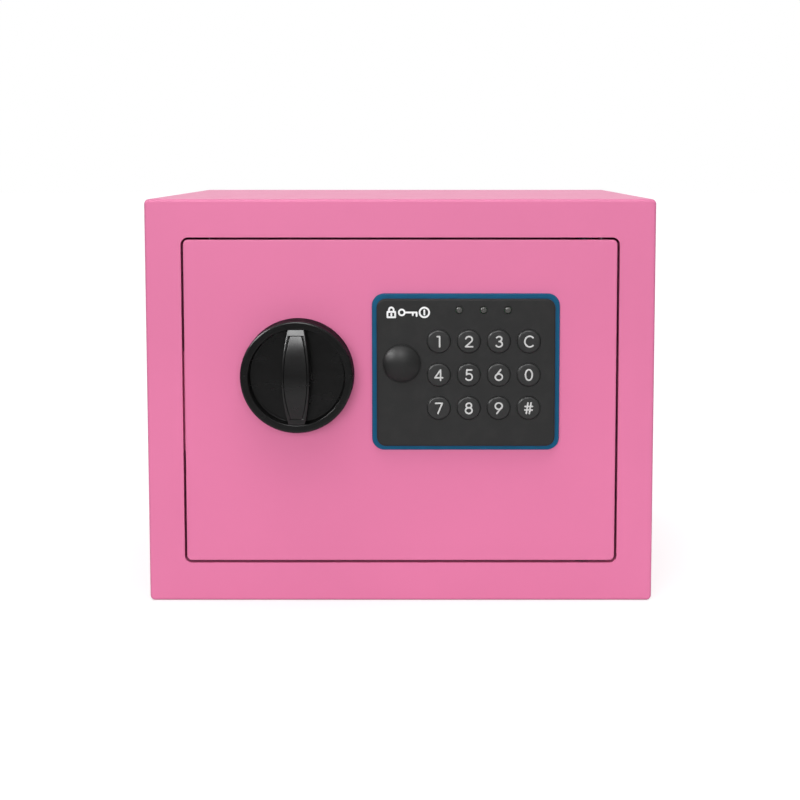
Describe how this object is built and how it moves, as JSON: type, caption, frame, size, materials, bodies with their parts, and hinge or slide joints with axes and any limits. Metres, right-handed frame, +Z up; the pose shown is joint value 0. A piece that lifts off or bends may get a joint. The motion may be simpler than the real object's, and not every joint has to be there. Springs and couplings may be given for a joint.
{
  "type": "toy safe coin bank",
  "caption": "Small pink steel cabinet safe used as a coin bank, with a flush hinged door, turning knob, sliding bolts, keypad and emergency key lock.",
  "frame": {"origin": "middle of the cabinet's flat underside, on the plane it stands on", "axes": "+Z up; -Y the way the door faces; +X to the right as seen from the front, towards the hinge side; the cabinet is centred in X and Y"},
  "size_m": [0.25, 0.2195, 0.2],
  "materials": {
    "pink_steel": "fine satin powder coat, pink",
    "black_plastic": "black, semi-gloss moulding",
    "keypad_plastic": "dark grey, fine matt moulding",
    "key_rubber": "dark grey silicone, light grey printed numbers",
    "blue_bezel": "deep blue, semi-gloss moulding",
    "smoked_lens": "smoked, unlit signal lamp",
    "steel": "turned, bright",
    "zinc_steel": "pressed, pale zinc plate",
    "brass": "turned, satin",
    "nylon": "black nylon",
    "felt": "thin charcoal felt",
    "board_green": "green solder mask",
    "cell_wrap": "plain blue shrink wrap",
    "coil_tape": "amber winding tape",
    "red_plastic": "red button",
    "lead_rubber": "black sleeved wires"
  },
  "bodies": {
    "cabinet": {"body_shell": "pink_steel", "back_panel": "pink_steel", "floor_mat": "felt", "door_stop": "pink_steel", "hinge_bush_upper": "nylon", "hinge_bush_lower": "nylon"},
    "door": {"door_panel": "pink_steel", "door_box": "pink_steel", "door_back_cover": "pink_steel", "cover_screw_1": "zinc_steel", "cover_screw_2": "zinc_steel", "cover_screw_3": "zinc_steel", "cover_screw_4": "zinc_steel", "hinge_lug_upper": "pink_steel", "hinge_lug_lower": "pink_steel", "hinge_pin_upper": "steel", "hinge_pin_lower": "steel", "keypad_bezel": "blue_bezel", "keypad_board": "board_green", "keypad_face": "keypad_plastic", "led_left": "smoked_lens", "led_middle": "smoked_lens", "led_right": "smoked_lens", "lock_housing": "steel", "lock_nut": "zinc_steel", "battery_box": "black_plastic", "battery_1": "cell_wrap", "battery_2": "cell_wrap", "battery_3": "cell_wrap", "battery_4": "cell_wrap", "solenoid_frame": "zinc_steel", "solenoid_coil": "coil_tape", "reset_switch": "black_plastic", "battery_lead": "lead_rubber", "solenoid_lead": "lead_rubber"},
    "knob": {"knob_dial": "black_plastic", "knob_grip_cap": "black_plastic", "knob_spindle": "steel", "knob_crank": "zinc_steel"},
    "bolts": {"bolt_carriage": "zinc_steel", "locking_bolt_upper": "steel", "locking_bolt_lower": "steel"},
    "lock_plug": {"lock_plug": "brass", "lock_cam": "zinc_steel"},
    "lock_cap": {"lock_cap": "keypad_plastic"},
    "plunger": {"solenoid_plunger": "steel"},
    "battery_cover": {"battery_cover": "black_plastic"},
    "reset_button": {"reset_button": "red_plastic"},
    "key_1": {"key_1": "key_rubber"},
    "key_2": {"key_2": "key_rubber"},
    "key_3": {"key_3": "key_rubber"},
    "key_C": {"key_C": "key_rubber"},
    "key_4": {"key_4": "key_rubber"},
    "key_5": {"key_5": "key_rubber"},
    "key_6": {"key_6": "key_rubber"},
    "key_0": {"key_0": "key_rubber"},
    "key_7": {"key_7": "key_rubber"},
    "key_8": {"key_8": "key_rubber"},
    "key_9": {"key_9": "key_rubber"},
    "key_hash": {"key_hash": "key_rubber"}
  },
  "joints": [
    {"name": "door_hinge", "type": "hinge", "parent": "cabinet", "child": "door", "pos_m": [0.09025, -0.0946, 0.1], "axis": [0, 0, 1], "range_deg": [0, 105]},
    {"name": "knob_turn", "type": "hinge", "parent": "door", "child": "knob", "pos_m": [-0.05, -0.1, 0.1144], "axis": [0, -1, 0], "range_deg": [0, 90]},
    {"name": "bolt_throw", "type": "slide", "parent": "door", "child": "bolts", "axis": [-1, 0, 0], "range_m": [0, 0.01202]},
    {"name": "lock_cap_pull", "type": "slide", "parent": "door", "child": "lock_cap", "axis": [0, -1, 0], "range_m": [0, 0.02]},
    {"name": "emergency_lock_turn", "type": "hinge", "parent": "door", "child": "lock_plug", "pos_m": [0.0008, -0.09, 0.12], "axis": [0, 1, 0], "range_deg": [0, 90]},
    {"name": "plunger_lift", "type": "slide", "parent": "door", "child": "plunger", "axis": [0, 0, 1], "range_m": [0, 0.003], "stiffness_N_per_m": 60, "springref_m": -0.004},
    {"name": "battery_cover_pull", "type": "slide", "parent": "door", "child": "battery_cover", "axis": [0, 1, 0], "range_m": [0, 0.03]},
    {"name": "reset_press", "type": "slide", "parent": "door", "child": "reset_button", "axis": [0, -1, 0], "range_m": [0, 0.0015], "stiffness_N_per_m": 300},
    {"name": "key_1_press", "type": "slide", "parent": "door", "child": "key_1", "axis": [0, 1, 0], "range_m": [0, 0.001], "stiffness_N_per_m": 300},
    {"name": "key_2_press", "type": "slide", "parent": "door", "child": "key_2", "axis": [0, 1, 0], "range_m": [0, 0.001], "stiffness_N_per_m": 300},
    {"name": "key_3_press", "type": "slide", "parent": "door", "child": "key_3", "axis": [0, 1, 0], "range_m": [0, 0.001], "stiffness_N_per_m": 300},
    {"name": "key_C_press", "type": "slide", "parent": "door", "child": "key_C", "axis": [0, 1, 0], "range_m": [0, 0.001], "stiffness_N_per_m": 300},
    {"name": "key_4_press", "type": "slide", "parent": "door", "child": "key_4", "axis": [0, 1, 0], "range_m": [0, 0.001], "stiffness_N_per_m": 300},
    {"name": "key_5_press", "type": "slide", "parent": "door", "child": "key_5", "axis": [0, 1, 0], "range_m": [0, 0.001], "stiffness_N_per_m": 300},
    {"name": "key_6_press", "type": "slide", "parent": "door", "child": "key_6", "axis": [0, 1, 0], "range_m": [0, 0.001], "stiffness_N_per_m": 300},
    {"name": "key_0_press", "type": "slide", "parent": "door", "child": "key_0", "axis": [0, 1, 0], "range_m": [0, 0.001], "stiffness_N_per_m": 300},
    {"name": "key_7_press", "type": "slide", "parent": "door", "child": "key_7", "axis": [0, 1, 0], "range_m": [0, 0.001], "stiffness_N_per_m": 300},
    {"name": "key_8_press", "type": "slide", "parent": "door", "child": "key_8", "axis": [0, 1, 0], "range_m": [0, 0.001], "stiffness_N_per_m": 300},
    {"name": "key_9_press", "type": "slide", "parent": "door", "child": "key_9", "axis": [0, 1, 0], "range_m": [0, 0.001], "stiffness_N_per_m": 300},
    {"name": "key_hash_press", "type": "slide", "parent": "door", "child": "key_hash", "axis": [0, 1, 0], "range_m": [0, 0.001], "stiffness_N_per_m": 300}
  ],
  "couplings": [
    {"joint": "knob_turn", "follows": "bolt_throw", "rad_per_m": 130.68}
  ]
}
